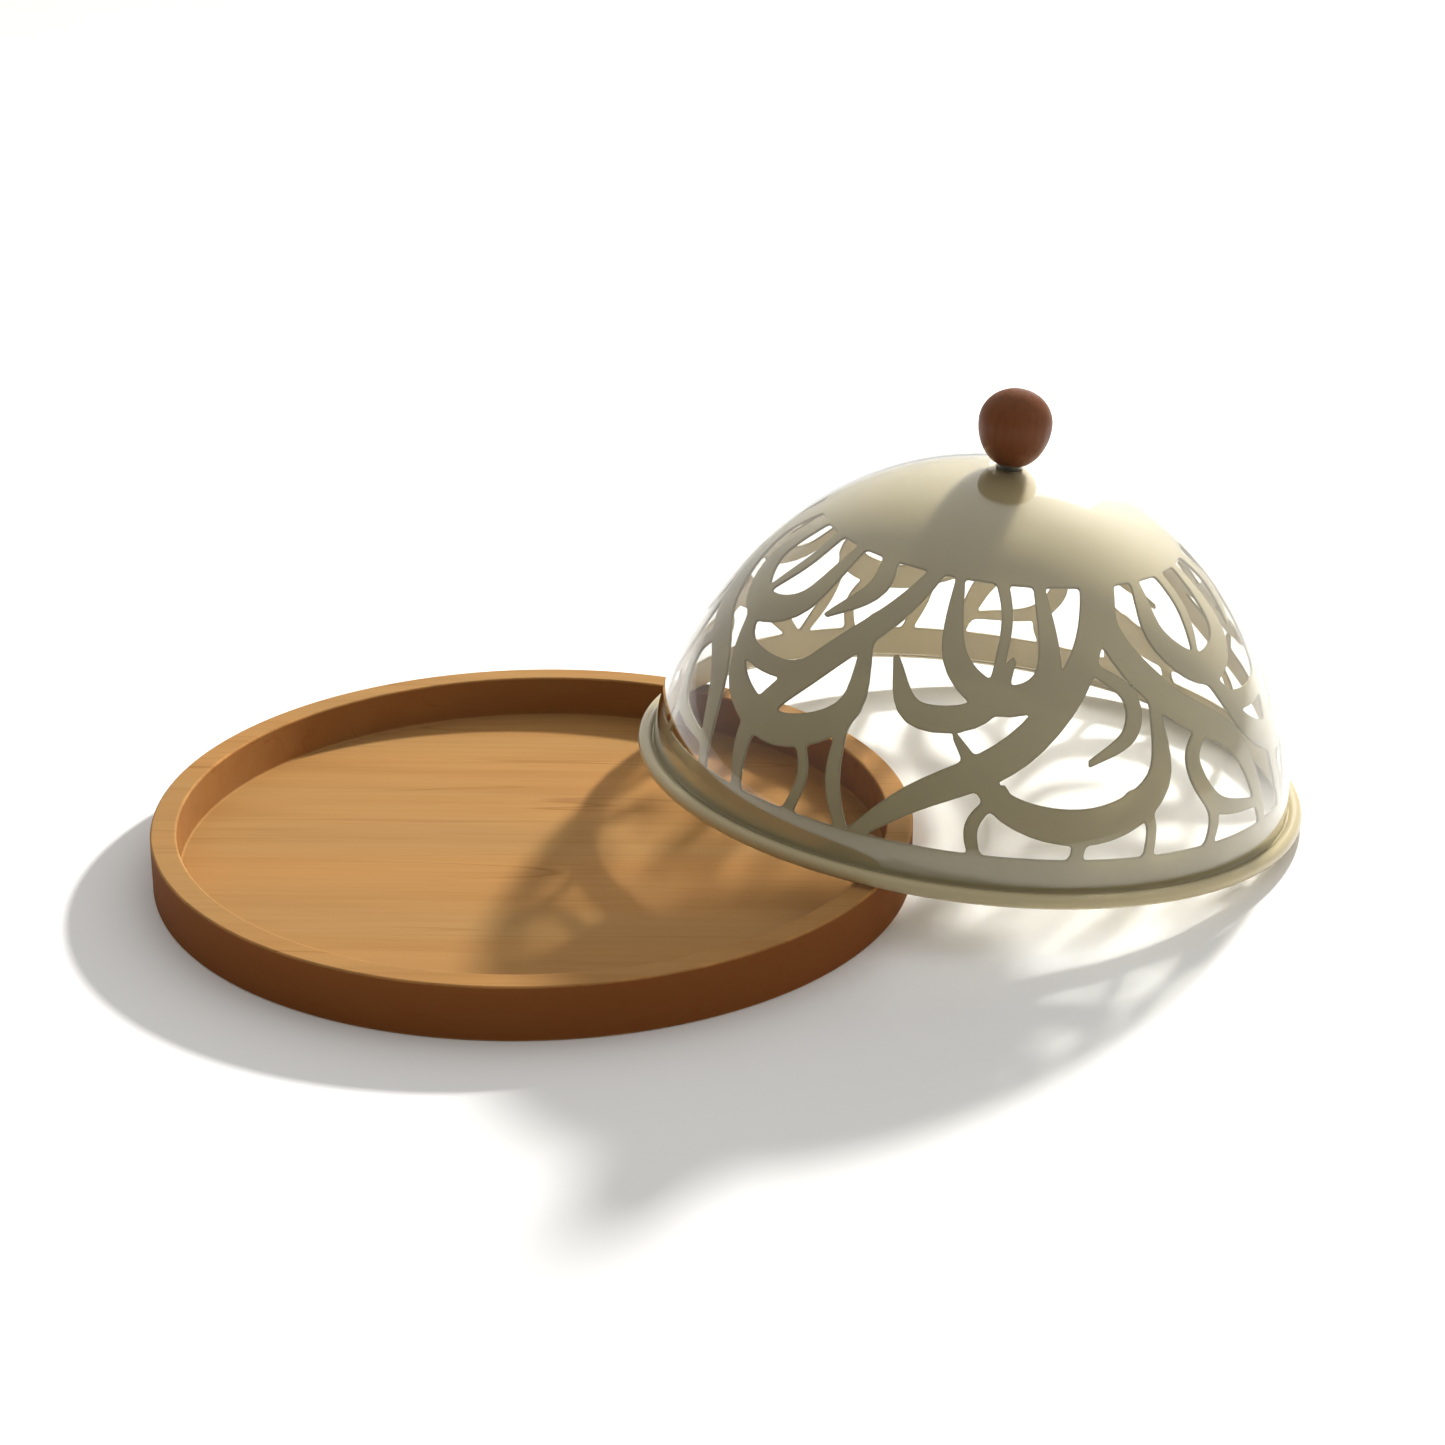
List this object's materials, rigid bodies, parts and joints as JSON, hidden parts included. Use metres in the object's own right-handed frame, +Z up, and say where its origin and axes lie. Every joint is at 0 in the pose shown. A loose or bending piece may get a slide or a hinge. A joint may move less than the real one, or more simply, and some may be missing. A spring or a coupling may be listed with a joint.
{
  "type": "cheese dome",
  "caption": "Round wooden tray with a raised lip, and a lift-off cheese dome: enamelled openwork shell under a clear cover, with a turned wooden knob. The dome leans on the tray.",
  "frame": {"origin": "centre of the flat underside of the tray", "axes": "+Z up from the underside of the tray; -Y is the side it is seen from; the dome leans on the tray's +X edge, turned 18 degrees towards +Y"},
  "size_m": [0.524, 0.3898, 0.2002],
  "materials": {
    "tray_wood": "oiled, satin, straight fine grain",
    "enamel": "cream enamel on steel sheet, gloss with slight orange peel",
    "clear": "clear, polished",
    "knob_wood": "dark stained, satin lacquer",
    "steel": "turned, satin",
    "brass": "machined",
    "silicone": "matte, translucent white"
  },
  "bodies": {
    "tray": {"tray": "tray_wood"},
    "dome": {"openwork_dome": "enamel", "clear_dome": "clear", "knob_gasket": "silicone", "crown_gasket": "silicone", "screw_gasket": "silicone", "screw_washer": "steel", "knob": "knob_wood", "knob_insert": "brass", "knob_screw": "steel"}
  },
  "joints": [
    {"name": "dome_lift", "type": "slide", "parent": "tray", "child": "dome", "axis": [0, 0, 1], "range_m": [0, 0.25]}
  ]
}
